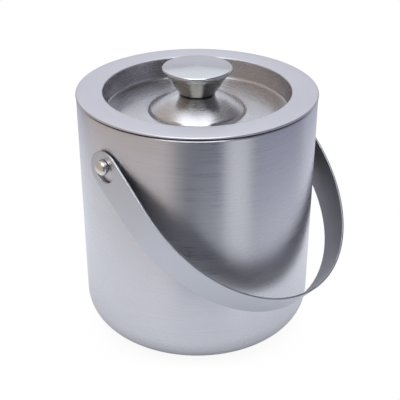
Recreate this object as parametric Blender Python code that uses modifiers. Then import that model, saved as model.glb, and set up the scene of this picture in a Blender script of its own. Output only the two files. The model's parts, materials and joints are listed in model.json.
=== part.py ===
"""Double-walled stainless-steel ice bucket with a lift-off lid and a swinging strip handle.

The bucket stands on z = 0 with its axis on world Z. The handle's pivots lie on world X, and the
handle hangs towards -Y. Everything is in metres. Blender 4.5.
"""

import math

import bmesh
import bpy
from mathutils import Matrix

# Bucket walls
BODY_RADIUS = 0.0725
BASE_CORNER = 0.0192
SHELL_THICKNESS = 0.0008
SHELL_TOP = 0.1524
SHELL_ROLL = 0.0010
SHELL_ROLL_END = 0.0690
LINER_RADIUS = 0.0590
LINER_THICKNESS = 0.0007
LINER_FLOOR = 0.0130
LINER_CORNER = 0.0120
LINER_THROAT = 0.0025
FLANGE_TOP = 0.1523
FLANGE_STEP_START = 0.0678
FLANGE_STEP_END = 0.0685
FLANGE_LOW = 0.1513
FLANGE_RADIUS = 0.0709

# Clearance between pieces that touch, chamfer on turned ends, and how far a cutter reaches
GAP = 0.0003
CHAMFER = 0.0004
CUT_REACH = 0.09

# Between the walls
SPACER_OUTER = 0.0702
SPACER_INNER = 0.0602
SPACER_BOTTOM = 0.1462
SPACER_TOP = 0.1502
SPACER_WALL = 0.0013
FOAM_OUTER = 0.0712
FOAM_INNER = 0.0602
FOAM_BOTTOM = 0.0210
FOAM_TOP = 0.1458
FOAM_WINDOW_WIDTH = 0.0300
FOAM_WINDOW_HEIGHT = 0.0360
FOAM_DISC_RADIUS = 0.0500
FOAM_DISC_BOTTOM = 0.0012
FOAM_DISC_TOP = 0.0119
FOAM_DISC_ROUND = 0.0060

# Handle pivots: the holes hang from the studs, so the swing axis is below the studs' axis
HINGE_Z = 0.12485
HOLE_RADIUS = 0.0070
STUD_NECK_RADIUS = 0.0038
STUD_HEAD_RADIUS = 0.0044
STUD_Z = HINGE_Z + HOLE_RADIUS - STUD_NECK_RADIUS - GAP
STUD_SHANK_RADIUS = 0.0025
STUD_SHANK_END = 0.0630
STUD_NECK_END = 0.0749
STUD_END = 0.0792
STUD_CROWN = 0.0026
SHELL_HOLE_RADIUS = 0.0029
PLATE_OUTER = 0.0714
PLATE_THICKNESS = 0.0012
PLATE_WIDTH = 0.0220
PLATE_HEIGHT = 0.0260
WASHER_RADIUS = 0.0050
WASHER_THICKNESS = 0.0010
WASHER_SEAT = math.sqrt((PLATE_OUTER - PLATE_THICKNESS) ** 2 - WASHER_RADIUS**2) - GAP
NUT_RADIUS = 0.0046
NUT_THICKNESS = 0.0040

# Handle strip
HANDLE_ANGLE = math.radians(40.5)
STRIP_THICKNESS = 0.0013
STRIP_SPAN = 0.07395
STRIP_LEG = 0.0326
STRIP_REACH = 0.1182
STRIP_END_WIDTH = 0.0240
STRIP_MIDDLE_WIDTH = 0.0192
BOW_SIDES = 44

# Lid
LID_TOP = 0.1545
LID_RADIUS = 0.0728
LID_THICKNESS = 0.0008
LID_EDGE = 0.0008
LID_EDGE_BOTTOM = 0.1534
RECESS_RADIUS = 0.0567
RECESS_SHOULDER = 0.0009
RECESS_FLOOR = 0.1407
RECESS_FILLET = 0.0022
DOME_RADIUS = 0.0298
DOME_FOOT = 0.0022
DOME_FOOT_WIDTH = 0.0010
DOME_TOP = 0.1516
DOME_PAD = 0.0105
DOME_POWER = 1.35  # 1 would be a plain cone
PLUG_RADIUS = 0.0584
PLUG_THICKNESS = 0.0006
PLUG_TOP = 0.1524
PLUG_BOTTOM = 0.1358
PLUG_CORNER = 0.0030
LID_FOAM_OUTER = 0.0565
LID_FOAM_INNER = 0.0120
LID_FOAM_BOTTOM = 0.1368
LID_FOAM_TOP = 0.1395
LID_FOAM_CHAMFER = 0.0010
GASKET_OUTER = 0.0717
GASKET_INNER = 0.0615

# Knob
KNOB_BASE = 0.1523
KNOB_BASE_RADIUS = 0.0113
KNOB_BASE_ROUND = 0.0008
KNOB_NECK_RADIUS = 0.0194
KNOB_NECK_Z = 0.1648
KNOB_NECK_TOP = 0.1670
KNOB_RADIUS = 0.0210
KNOB_RIM_LOW = 0.1664
KNOB_RIM_HIGH = 0.1672
KNOB_RIM_ROUND = 0.0009
KNOB_CROWN = 0.0010
KNOB_HEM_RADIUS = 0.0203
KNOB_HEM_Z = 0.1657
KNOB_THICKNESS = 0.0008
SEAT_RADIUS = 0.0097
SEAT_GAP = 0.0002
KNOB_NUT_RADIUS = 0.0040
KNOB_NUT_THICKNESS = 0.0030
SCREW_RADIUS = 0.0019
SCREW_HOLE = 0.0023
SCREW_TIP = 0.1583
SCREW_HEAD_RADIUS = 0.0040
SCREW_HEAD_HEIGHT = 0.0022
SCREW_HEAD_ROUND = 0.0010
SCREW_WASHER_RADIUS = 0.0055
SCREW_WASHER_THICKNESS = 0.0008
SCREW_SLOT_WIDTH = 0.0010
SCREW_SLOT_DEPTH = 0.0009

LARGE_STEPS = 40
KNOB_STEPS = 28
SMALL_STEPS = 16
MERGE = 0.00001


# ---------------------------------------------------------------- scene, collections, materials

for old in list(bpy.data.objects):
    bpy.data.objects.remove(old, do_unlink=True)

PARTS = bpy.data.collections.new("ice_bucket")
CUTTERS = bpy.data.collections.new("cutters")
for made in (PARTS, CUTTERS):
    bpy.context.scene.collection.children.link(made)
CUTTERS.hide_render = True


def material(name, colour, roughness, metallic):
    made = bpy.data.materials.new(name)
    made.use_nodes = True
    shader = made.node_tree.nodes["Principled BSDF"]
    shader.inputs["Base Color"].default_value = (*colour, 1.0)
    shader.inputs["Roughness"].default_value = roughness
    shader.inputs["Metallic"].default_value = metallic
    return made


BRUSHED_STEEL = material("brushed_steel", (0.60, 0.60, 0.63), 0.34, 1.0)
SATIN_STEEL = material("satin_steel", (0.56, 0.55, 0.53), 0.28, 1.0)
PLAIN_STEEL = material("plain_steel", (0.50, 0.50, 0.50), 0.42, 1.0)
ZINC = material("zinc_plate", (0.55, 0.55, 0.52), 0.40, 1.0)
FOAM = material("white_foam", (0.86, 0.86, 0.83), 0.90, 0.0)
NYLON = material("grey_nylon", (0.30, 0.30, 0.31), 0.55, 0.0)
RUBBER = material("black_rubber", (0.02, 0.02, 0.02), 0.70, 0.0)


# ---------------------------------------------------------------- building blocks


def keep(obj, paint):
    """Files a finished piece with the parts, in its own material."""
    obj.data.materials.clear()
    obj.data.materials.append(paint)
    PARTS.objects.link(obj)
    return obj


def as_cutter(obj):
    CUTTERS.objects.link(obj)
    obj.hide_render = True
    obj.display_type = "WIRE"
    return obj


def arc(centre_r, centre_z, radius, start, end, count):
    """Points on a circle in the (r, z) plane, from one angle to another, in degrees."""
    angles = [math.radians(start + (end - start) * i / count) for i in range(count + 1)]
    return [(centre_r + radius * math.cos(a), centre_z + radius * math.sin(a)) for a in angles]


def smoothstep(t):
    t = min(max(t, 0.0), 1.0)
    return t * t * (3 - 2 * t)


def screw(name, profile, steps, closed):
    """Turns (r, z) points about Z. The profile runs down its outer side."""
    mesh = bpy.data.meshes.new(name)
    count = len(profile)
    edges = [(i, i + 1) for i in range(count - 1)]
    if closed:
        edges.append((count - 1, 0))
    mesh.from_pydata([(r, 0, z) for r, z in profile], edges, [])
    obj = bpy.data.objects.new(name, mesh)
    turn = obj.modifiers.new("turn", "SCREW")
    turn.steps = turn.render_steps = steps
    turn.use_merge_vertices = True
    turn.merge_threshold = MERGE
    turn.use_smooth_shade = True
    return obj


def solid_turning(name, profile, steps=SMALL_STEPS, closed=True):
    """A turned solid. It is a ring when closed, and otherwise starts and ends on the axis."""
    return screw(name, profile, steps, closed)


def sheet_turning(name, path, thickness, steps=LARGE_STEPS):
    """Turned sheet metal: the path is the skin on the side its normals face, and the metal is behind it."""
    obj = screw(name, path, steps, closed=False)
    wall = obj.modifiers.new("wall", "SOLIDIFY")
    wall.thickness = thickness
    wall.offset = -1
    wall.use_even_offset = True
    return obj


def cut(obj, cutter, operation="DIFFERENCE"):
    made = obj.modifiers.new(f"{operation.lower()}_{cutter.name}", "BOOLEAN")
    made.operation = operation
    made.solver = "EXACT"
    made.object = cutter
    return obj


def rod_along_x(name, radius, half_length, z, steps=SMALL_STEPS):
    mesh = bpy.data.meshes.new(name)
    shape = bmesh.new()
    bmesh.ops.create_cone(
        shape, cap_ends=True, segments=steps, radius1=radius, radius2=radius, depth=2 * half_length
    )
    bmesh.ops.rotate(shape, verts=shape.verts, matrix=Matrix.Rotation(math.pi / 2, 3, "Y"))
    bmesh.ops.translate(shape, verts=shape.verts, vec=(0, 0, z))
    shape.to_mesh(mesh)
    shape.free()
    return bpy.data.objects.new(name, mesh)


def block(name, size, centre):
    mesh = bpy.data.meshes.new(name)
    shape = bmesh.new()
    bmesh.ops.create_cube(shape, size=1.0)
    bmesh.ops.scale(shape, verts=shape.verts, vec=size)
    bmesh.ops.translate(shape, verts=shape.verts, vec=centre)
    shape.to_mesh(mesh)
    shape.free()
    return bpy.data.objects.new(name, mesh)


def flat_outline(name, outlines, thickness):
    """A plate from closed outlines in its local XY plane; the inner ones are holes."""
    data = bpy.data.curves.new(name, "CURVE")
    data.dimensions = "2D"
    data.fill_mode = "BOTH"
    data.extrude = thickness / 2
    for outline in outlines:
        spline = data.splines.new("POLY")
        spline.points.add(len(outline) - 1)
        for point, (x, y) in zip(spline.points, outline):
            point.co = (x, y, 0, 1)
        spline.use_cyclic_u = True
    return bpy.data.objects.new(name, data)


def as_mesh(obj):
    """The curve as a mesh object with welded caps, in the curve's place."""
    bpy.context.scene.collection.objects.link(obj)
    bpy.context.view_layer.update()
    graph = bpy.context.evaluated_depsgraph_get()
    mesh = bpy.data.meshes.new_from_object(obj.evaluated_get(graph))
    shape = bmesh.new()
    shape.from_mesh(mesh)
    bmesh.ops.remove_doubles(shape, verts=shape.verts, dist=MERGE)
    bmesh.ops.recalc_face_normals(shape, faces=shape.faces)
    shape.to_mesh(mesh)
    shape.free()
    name = obj.name
    matrix = obj.matrix_world.copy()
    bpy.data.objects.remove(obj, do_unlink=True)
    made = bpy.data.objects.new(name, mesh)
    made.matrix_world = matrix
    return made


def pivot(name, location, rotation=(0, 0, 0)):
    empty = bpy.data.objects.new(name, None)
    empty.empty_display_size = 0.02
    empty.location = location
    empty.rotation_euler = rotation
    PARTS.objects.link(empty)
    return empty


# ---------------------------------------------------------------- bucket walls


def outer_shell():
    """One drawn cup, whose top edge is rolled in over the liner's flange."""
    path = [(SHELL_ROLL_END, SHELL_TOP)]
    path += arc(BODY_RADIUS - SHELL_ROLL, SHELL_TOP - SHELL_ROLL, SHELL_ROLL, 90, 0, 3)
    path += arc(BODY_RADIUS - BASE_CORNER, BASE_CORNER, BASE_CORNER, 0, -90, 7)
    path += [(0, 0)]
    shell = keep(sheet_turning("outer_shell", path, SHELL_THICKNESS), BRUSHED_STEEL)
    hole = as_cutter(rod_along_x("shell_hole", SHELL_HOLE_RADIUS, CUT_REACH, STUD_Z))
    return cut(shell, hole)


def inner_liner():
    """The drawn ice cup. Its flange steps down at the edge, under the shell's rolled top."""
    path = [(0, LINER_FLOOR)]
    path += arc(LINER_RADIUS - LINER_CORNER, LINER_FLOOR + LINER_CORNER, LINER_CORNER, -90, 0, 5)
    path += arc(LINER_RADIUS + LINER_THROAT, FLANGE_TOP - LINER_THROAT, LINER_THROAT, 180, 90, 3)
    path += [(FLANGE_STEP_START, FLANGE_TOP), (FLANGE_STEP_END, FLANGE_LOW), (FLANGE_RADIUS, FLANGE_LOW)]
    return keep(sheet_turning("inner_liner", path, LINER_THICKNESS), SATIN_STEEL)


def rim_spacer_ring():
    """A moulded channel that keeps the two walls concentric under the flange."""
    profile = [
        (SPACER_INNER, SPACER_TOP),
        (SPACER_OUTER, SPACER_TOP),
        (SPACER_OUTER, SPACER_BOTTOM),
        (SPACER_OUTER - SPACER_WALL, SPACER_BOTTOM),
        (SPACER_OUTER - SPACER_WALL, SPACER_TOP - SPACER_WALL),
        (SPACER_INNER + SPACER_WALL, SPACER_TOP - SPACER_WALL),
        (SPACER_INNER + SPACER_WALL, SPACER_BOTTOM),
        (SPACER_INNER, SPACER_BOTTOM),
    ]
    return keep(solid_turning("rim_spacer_ring", profile, LARGE_STEPS), NYLON)


def wall_insulation():
    """The foam sleeve, with a window on each side for the stud's nut."""
    profile = [
        (FOAM_INNER, FOAM_TOP),
        (FOAM_OUTER, FOAM_TOP),
        (FOAM_OUTER, FOAM_BOTTOM),
        (FOAM_INNER, FOAM_BOTTOM),
    ]
    sleeve = keep(solid_turning("wall_insulation", profile, LARGE_STEPS), FOAM)
    size = (2 * CUT_REACH, FOAM_WINDOW_WIDTH, FOAM_WINDOW_HEIGHT)
    return cut(sleeve, as_cutter(block("foam_window", size, (0, 0, STUD_Z))))


def base_insulation():
    edge = arc(
        FOAM_DISC_RADIUS - FOAM_DISC_ROUND, FOAM_DISC_TOP - FOAM_DISC_ROUND, FOAM_DISC_ROUND, 90, 0, 4
    )
    profile = [(0, FOAM_DISC_TOP)] + edge + [(FOAM_DISC_RADIUS, FOAM_DISC_BOTTOM), (0, FOAM_DISC_BOTTOM)]
    return keep(solid_turning("base_insulation", profile, LARGE_STEPS, closed=False), FOAM)


# ---------------------------------------------------------------- handle pivots


def lay_outward(obj, side):
    """Lays a turning made along +Z so that its axis points out along +X or -X at the studs' height."""
    obj.rotation_euler = (0, side * math.pi / 2, 0)
    obj.location = (0, 0, STUD_Z)
    return obj


def pivot_stud(label, side):
    """Turned stud: threaded shank inside, a neck that the strip hangs on, and a crowned head."""
    start = BODY_RADIUS + GAP
    turns = [math.radians(angle) for angle in (30, 60, 90)]
    profile = [(0, STUD_END)]
    profile += [(STUD_HEAD_RADIUS * math.sin(a), STUD_END - STUD_CROWN * (1 - math.cos(a))) for a in turns]
    profile += [(STUD_HEAD_RADIUS, STUD_NECK_END + CHAMFER)]
    profile += [(STUD_NECK_RADIUS, STUD_NECK_END), (STUD_NECK_RADIUS, start)]
    profile += [(STUD_SHANK_RADIUS, start), (STUD_SHANK_RADIUS, STUD_SHANK_END + CHAMFER)]
    profile += [(STUD_SHANK_RADIUS - CHAMFER, STUD_SHANK_END), (0, STUD_SHANK_END)]
    stud = solid_turning(f"pivot_stud_{label}", profile, SMALL_STEPS, closed=False)
    return keep(lay_outward(stud, side), SATIN_STEEL)


def backing_plate(label, side):
    """A curved plate inside the shell that spreads the stud's load."""
    low, high = STUD_Z - PLATE_HEIGHT / 2, STUD_Z + PLATE_HEIGHT / 2
    inner = PLATE_OUTER - PLATE_THICKNESS
    tube = [(inner, high), (PLATE_OUTER, high), (PLATE_OUTER, low), (inner, low)]
    plate = keep(solid_turning(f"backing_plate_{label}", tube, LARGE_STEPS), ZINC)
    size = (PLATE_OUTER, PLATE_WIDTH, 2 * PLATE_HEIGHT)
    trim = block(f"plate_trim_{label}", size, (side * PLATE_OUTER, 0, STUD_Z))
    cut(plate, as_cutter(trim), "INTERSECT")
    return cut(plate, bpy.data.objects["shell_hole"])


def lock_washer(label, side):
    inner = WASHER_SEAT - WASHER_THICKNESS
    hole = SHELL_HOLE_RADIUS
    profile = [(hole, WASHER_SEAT), (WASHER_RADIUS, WASHER_SEAT), (WASHER_RADIUS, inner), (hole, inner)]
    return keep(lay_outward(solid_turning(f"lock_washer_{label}", profile), side), PLAIN_STEEL)


def ring_outline(radius, count, turn=0.0):
    angles = [turn + 2 * math.pi * i / count for i in range(count)]
    return [(radius * math.cos(a), radius * math.sin(a)) for a in angles]


def hex_nut(name, radius, hole, thickness):
    return as_mesh(flat_outline(name, [ring_outline(radius, 6), ring_outline(hole, SMALL_STEPS)], thickness))


def stud_nut(label, side):
    nut = hex_nut(f"stud_nut_{label}", NUT_RADIUS, SHELL_HOLE_RADIUS, NUT_THICKNESS)
    outer = WASHER_SEAT - WASHER_THICKNESS - GAP
    nut.rotation_euler = (0, math.pi / 2, 0)
    nut.location = (side * (outer - NUT_THICKNESS / 2), 0, STUD_Z)
    return keep(nut, PLAIN_STEEL)


# ---------------------------------------------------------------- handle


def strip_width(distance):
    """The strip's width at a distance from the swing axis: wide at its ends, narrower in the grip."""
    return STRIP_END_WIDTH + (STRIP_MIDDLE_WIDTH - STRIP_END_WIDTH) * smoothstep(distance / STRIP_REACH)


def handle_strip():
    """A flat strip bent into a U: two straight legs and a half ellipse."""
    end = STRIP_END_WIDTH / 2
    bow = STRIP_REACH - STRIP_LEG
    angles = [math.pi * i / BOW_SIDES for i in range(BOW_SIDES + 1)]
    centre_line = [(STRIP_SPAN, end + GAP)]
    centre_line += [(STRIP_SPAN * math.cos(a), -STRIP_LEG - bow * math.sin(a)) for a in angles]
    centre_line += [(-STRIP_SPAN, end + GAP)]
    data = bpy.data.curves.new("handle_strip", "CURVE")
    data.dimensions = "2D"
    data.fill_mode = "NONE"
    data.extrude = STRIP_END_WIDTH / 2 + GAP
    spline = data.splines.new("POLY")
    spline.points.add(len(centre_line) - 1)
    for point, (x, y) in zip(spline.points, centre_line):
        point.co = (x, y, 0, 1)
    strip = as_mesh(bpy.data.objects.new("handle_strip", data))
    wall = strip.modifiers.new("wall", "SOLIDIFY")
    wall.thickness = STRIP_THICKNESS
    wall.offset = 0
    wall.use_even_offset = True

    # Side outline: round ends about the holes, then edges that draw in towards the grip.
    past_bow = STRIP_REACH * 1.05
    distances = [past_bow * i / 20 for i in range(1, 21)]
    edge = [(distance, strip_width(distance) / 2) for distance in distances]
    half_turn = [math.radians(90 + 180 * i / 14) for i in range(15)]
    round_end = [(end * math.cos(a), end * math.sin(a)) for a in half_turn]
    outline = round_end + [(x, -y) for x, y in edge] + edge[::-1]
    trim = as_mesh(flat_outline("strip_outline", [outline], 2 * CUT_REACH))
    # Local X of the outline runs along the strip, which is -Y, and its thickness along the pivots.
    trim.data.transform(Matrix(((0, 0, -1, 0), (-1, 0, 0, 0), (0, 1, 0, 0), (0, 0, 0, 1))))
    hole = as_cutter(rod_along_x("strip_hole", HOLE_RADIUS, CUT_REACH, 0, 24))
    cut(strip, as_cutter(trim), "INTERSECT")
    cut(strip, hole)

    swing = pivot("handle_swing", (0, 0, HINGE_Z), (HANDLE_ANGLE, 0, 0))
    for obj in (strip, trim, hole):
        obj.parent = swing
    return keep(strip, BRUSHED_STEEL)


# ---------------------------------------------------------------- lid


def lid_top_pan():
    """One pressing: flat rim, sunk floor and the low dome that carries the knob."""
    fall = DOME_TOP - RECESS_FLOOR - DOME_FOOT
    run = DOME_RADIUS - DOME_FOOT_WIDTH - DOME_PAD
    path = [(SCREW_HOLE, DOME_TOP)]
    path += [(DOME_PAD + run * t, DOME_TOP - fall * t**DOME_POWER) for t in (0.0, 0.12, 0.3, 0.55, 0.8, 1.0)]
    path += [(DOME_RADIUS - CHAMFER, RECESS_FLOOR + 3 * CHAMFER), (DOME_RADIUS, RECESS_FLOOR + CHAMFER)]
    path += [(DOME_RADIUS + CHAMFER, RECESS_FLOOR)]
    path += arc(RECESS_RADIUS - RECESS_FILLET, RECESS_FLOOR + RECESS_FILLET, RECESS_FILLET, -90, 0, 3)
    path += arc(
        RECESS_RADIUS + RECESS_SHOULDER, LID_TOP - RECESS_SHOULDER, RECESS_SHOULDER, 180, 90, 2
    )
    path += arc(LID_RADIUS - LID_EDGE, LID_TOP - LID_EDGE, LID_EDGE, 90, 0, 2)
    path += [(LID_RADIUS, LID_EDGE_BOTTOM)]
    return keep(sheet_turning("lid_top_pan", path, LID_THICKNESS), BRUSHED_STEEL)


def lid_bottom_pan():
    """The plug that closes the lid from below and fits the mouth of the liner."""
    path = [(PLUG_RADIUS, PLUG_TOP)]
    path += arc(PLUG_RADIUS - PLUG_CORNER, PLUG_BOTTOM + PLUG_CORNER, PLUG_CORNER, 0, -90, 3)
    path += [(0, PLUG_BOTTOM)]
    return keep(sheet_turning("lid_bottom_pan", path, PLUG_THICKNESS), SATIN_STEEL)


def lid_insulation():
    profile = [
        (LID_FOAM_INNER, LID_FOAM_TOP),
        (LID_FOAM_OUTER - 2 * LID_FOAM_CHAMFER, LID_FOAM_TOP),
        (LID_FOAM_OUTER, LID_FOAM_TOP - LID_FOAM_CHAMFER),
        (LID_FOAM_OUTER - LID_FOAM_CHAMFER, LID_FOAM_BOTTOM),
        (LID_FOAM_INNER, LID_FOAM_BOTTOM),
    ]
    return keep(solid_turning("lid_insulation", profile, LARGE_STEPS), FOAM)


def lid_gasket():
    """The flat ring that the lid sits on, set back from the edge."""
    low = SHELL_TOP + GAP
    high = LID_TOP - LID_THICKNESS - GAP
    profile = [(GASKET_INNER, high), (GASKET_OUTER, high), (GASKET_OUTER, low), (GASKET_INNER, low)]
    return keep(solid_turning("lid_gasket", profile, LARGE_STEPS), RUBBER)


# ---------------------------------------------------------------- knob


def knob_body():
    """The tapered spinning under the cap, with a flat foot that the screw clamps."""
    path = [(KNOB_NECK_RADIUS, KNOB_NECK_TOP), (KNOB_NECK_RADIUS, KNOB_NECK_Z)]
    path += arc(
        KNOB_BASE_RADIUS - KNOB_BASE_ROUND, KNOB_BASE + KNOB_BASE_ROUND, KNOB_BASE_ROUND, -30, -90, 2
    )
    path += [(SCREW_HOLE, KNOB_BASE)]
    return keep(sheet_turning("knob_body", path, KNOB_THICKNESS, KNOB_STEPS), SATIN_STEEL)


def knob_cap():
    """The slightly crowned top, whose rim is turned in under itself."""
    crown_edge = KNOB_RADIUS - KNOB_RIM_ROUND
    rim_top = KNOB_RIM_HIGH + KNOB_RIM_ROUND
    path = [(crown_edge * t, rim_top + KNOB_CROWN * (1 - t * t)) for t in (0.0, 0.35, 0.7)]
    path += arc(crown_edge, KNOB_RIM_HIGH, KNOB_RIM_ROUND, 86, 0, 2)
    path += [(KNOB_RADIUS, KNOB_RIM_LOW), (KNOB_HEM_RADIUS, KNOB_HEM_Z)]
    return keep(sheet_turning("knob_cap", path, KNOB_THICKNESS, KNOB_STEPS), SATIN_STEEL)


def knob_seat_washer():
    low, high = DOME_TOP + SEAT_GAP, KNOB_BASE - SEAT_GAP
    profile = [(SCREW_HOLE, high), (SEAT_RADIUS, high), (SEAT_RADIUS, low), (SCREW_HOLE, low)]
    return keep(solid_turning("knob_seat_washer", profile, KNOB_STEPS), RUBBER)


def knob_nut():
    nut = hex_nut("knob_nut", KNOB_NUT_RADIUS, SCREW_HOLE, KNOB_NUT_THICKNESS)
    nut.location = (0, 0, KNOB_BASE + KNOB_THICKNESS + GAP + KNOB_NUT_THICKNESS / 2)
    return keep(nut, PLAIN_STEEL)


def knob_screw():
    """Slotted pan-head screw, up through the dome into the nut in the knob."""
    under_dome = DOME_TOP - LID_THICKNESS - GAP
    washer_low = under_dome - SCREW_WASHER_THICKNESS
    seat = washer_low - GAP
    head_bottom = seat - SCREW_HEAD_HEIGHT
    profile = [(0, SCREW_TIP), (SCREW_RADIUS - CHAMFER, SCREW_TIP), (SCREW_RADIUS, SCREW_TIP - CHAMFER)]
    profile += [(SCREW_RADIUS, seat), (SCREW_HEAD_RADIUS, seat)]
    profile += [(SCREW_HEAD_RADIUS, head_bottom + SCREW_HEAD_ROUND)]
    profile += [(SCREW_HEAD_RADIUS - SCREW_HEAD_ROUND, head_bottom), (0, head_bottom)]
    screw_piece = keep(solid_turning("knob_screw", profile, SMALL_STEPS, closed=False), PLAIN_STEEL)
    size = (4 * SCREW_HEAD_RADIUS, SCREW_SLOT_WIDTH, 2 * SCREW_SLOT_DEPTH)
    cut(screw_piece, as_cutter(block("screw_slot", size, (0, 0, head_bottom))))
    ring = [(SCREW_HOLE, under_dome), (SCREW_WASHER_RADIUS, under_dome)]
    ring += [(SCREW_WASHER_RADIUS, washer_low), (SCREW_HOLE, washer_low)]
    return screw_piece, keep(solid_turning("knob_screw_washer", ring), PLAIN_STEEL)


# ---------------------------------------------------------------- assembly

outer_shell()
inner_liner()
rim_spacer_ring()
wall_insulation()
base_insulation()
for label, side in (("left", -1), ("right", 1)):
    pivot_stud(label, side)
    backing_plate(label, side)
    lock_washer(label, side)
    stud_nut(label, side)
handle_strip()

lift = pivot("lid_lift", (0, 0, LID_TOP))
lid_pieces = [lid_top_pan(), lid_bottom_pan(), lid_insulation(), lid_gasket()]
lid_pieces += [knob_body(), knob_cap(), knob_seat_washer(), knob_nut(), *knob_screw()]
for piece in lid_pieces:
    piece.parent = lift
    piece.matrix_parent_inverse = Matrix.Translation((0, 0, -LID_TOP))
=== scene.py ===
"""Looks of the double-walled ice bucket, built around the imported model. Blender 4.5, metres.

The visible metal is rebuilt at a finer resolution than the CAD, from the same dimensions, and every
node gets a procedural material. Left, right, front and back in the studio are as its camera sees them.
"""

import json
import math

import bmesh
import bpy
from mathutils import Matrix, Vector


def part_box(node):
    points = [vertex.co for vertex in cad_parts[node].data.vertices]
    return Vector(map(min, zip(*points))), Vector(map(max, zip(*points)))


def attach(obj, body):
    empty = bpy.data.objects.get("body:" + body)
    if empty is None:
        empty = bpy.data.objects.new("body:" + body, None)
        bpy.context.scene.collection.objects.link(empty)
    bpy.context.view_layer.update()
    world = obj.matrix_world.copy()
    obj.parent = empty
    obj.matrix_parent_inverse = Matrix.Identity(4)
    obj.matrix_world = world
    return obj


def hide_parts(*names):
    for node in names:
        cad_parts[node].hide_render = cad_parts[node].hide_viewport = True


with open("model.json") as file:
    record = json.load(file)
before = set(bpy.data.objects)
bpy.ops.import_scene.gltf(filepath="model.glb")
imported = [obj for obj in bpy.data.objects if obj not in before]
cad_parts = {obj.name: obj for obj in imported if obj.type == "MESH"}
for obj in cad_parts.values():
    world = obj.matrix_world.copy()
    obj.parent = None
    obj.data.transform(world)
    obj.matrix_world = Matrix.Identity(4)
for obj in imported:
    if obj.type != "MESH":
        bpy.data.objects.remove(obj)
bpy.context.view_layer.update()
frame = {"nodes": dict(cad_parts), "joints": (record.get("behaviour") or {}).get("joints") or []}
NODES = frame["nodes"]

# ---------------------------------------------------------------- dimensions, from the CAD

SHELL_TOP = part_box("outer_shell")[1].z
BODY_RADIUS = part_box("outer_shell")[1].x
LID_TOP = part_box("lid_top_pan")[1].z
LID_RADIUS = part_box("lid_top_pan")[1].x
PLUG_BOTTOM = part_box("lid_bottom_pan")[0].z
KNOB_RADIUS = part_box("knob_cap")[1].x
KNOB_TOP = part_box("knob_cap")[1].z
KNOB_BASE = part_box("knob_body")[0].z
STUD_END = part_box("pivot_stud_right")[1].x
STUD_Z = (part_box("pivot_stud_right")[0].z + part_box("pivot_stud_right")[1].z) / 2
FLANGE_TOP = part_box("inner_liner")[1].z
HINGE_Z = next(j for j in frame["joints"] if j["name"] == "handle_swing")["pos_m"][2]

SHELL_THICKNESS = 0.0008
BASE_CORNER = 0.0192
SHELL_ROLL = 0.0010
SHELL_ROLL_END = 0.0690
LINER_RADIUS = 0.0590
LINER_THICKNESS = 0.0007
LINER_FLOOR = 0.0130
LINER_CORNER = 0.0120
LINER_THROAT = 0.0025
FLANGE_STEP_START = 0.0678
FLANGE_STEP_END = 0.0685
FLANGE_DROP = 0.0010
FLANGE_RADIUS = 0.0709

LID_THICKNESS = 0.0008
LID_EDGE = 0.0008
LID_EDGE_DROP = 0.0011
RECESS_RADIUS = 0.0567
RECESS_SHOULDER = 0.0009
RECESS_FLOOR = 0.1407
RECESS_FILLET = 0.0022
DOME_RADIUS = 0.0298
DOME_FOOT = 0.0022
DOME_FOOT_WIDTH = 0.0010
DOME_TOP = 0.1516
DOME_PAD = 0.0105
DOME_POWER = 1.35
PLUG_RADIUS = 0.0584
PLUG_TOP = 0.1524
PLUG_THICKNESS = 0.0006
PLUG_CORNER = 0.0030

KNOB_BASE_RADIUS = 0.0113
KNOB_BASE_ROUND = 0.0008
KNOB_NECK_RADIUS = 0.0194
KNOB_NECK_Z = 0.1648
KNOB_NECK_TOP = 0.1670
KNOB_RIM_ROUND = 0.0009
KNOB_RIM_HEIGHT = 0.0008
KNOB_CROWN = 0.0010
KNOB_HEM_RADIUS = 0.0203
KNOB_HEM_DROP = 0.0007
KNOB_THICKNESS = 0.0008
SCREW_HOLE = 0.0023

STUD_NECK_RADIUS = 0.0038
STUD_HEAD_RADIUS = 0.0044
STUD_NECK_END = 0.0749
STUD_NECK_START = 0.0728
STUD_SHANK_RADIUS = 0.0025
STUD_SHANK_END = 0.0630
STUD_CROWN = 0.0026
SHELL_HOLE_RADIUS = 0.0029

HANDLE_ANGLE = math.radians(40.5)
HOLE_RADIUS = 0.0070
STRIP_THICKNESS = 0.0013
STRIP_SPAN = 0.07395
STRIP_LEG = 0.0326
STRIP_REACH = 0.1182
STRIP_END_WIDTH = 0.0240
STRIP_MIDDLE_WIDTH = 0.0192
STRIP_EDGE_ROUND = 0.0004

EDGE_ROUND = 0.0002

# ---------------------------------------------------------------- small shapes and mesh resolution

CUT_REACH = 0.09
BASE_RINGS = (0.040, 0.025, 0.012, 0.0)
LINER_RINGS = (0.0, 0.02, 0.034)
PLUG_RINGS = (0.045, 0.030, 0.015, 0.0)
FLOOR_RINGS = (0.034, 0.040, 0.046, 0.051)
RIM_RINGS = (0.061, 0.066)
SCREW_FLAT = 0.006  # radius of the flat round the knob screw's hole
DOME_FOOT_STEPS = ((0.0007, -0.0004), (0.0004, -0.0010))  # inset from the dome's radius, height on its foot
DOME_TOE_INSET = 0.0001
DOME_FOOT_ROUND = 0.0006
RING_DEPTH = 1.1  # the rim's finish goes this many shoulder heights down into the recess
STUD_LIP_ROUND = 0.0003
THREAD_RINGS = 20
THREAD_DEPTH = 0.00025
THREAD_RUNOUT = 0.001
STUD_TIP_INSET = 0.0004
KNOB_CROWN_SHARE = 0.97  # the crown runs this far towards the rim's rounding

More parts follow.
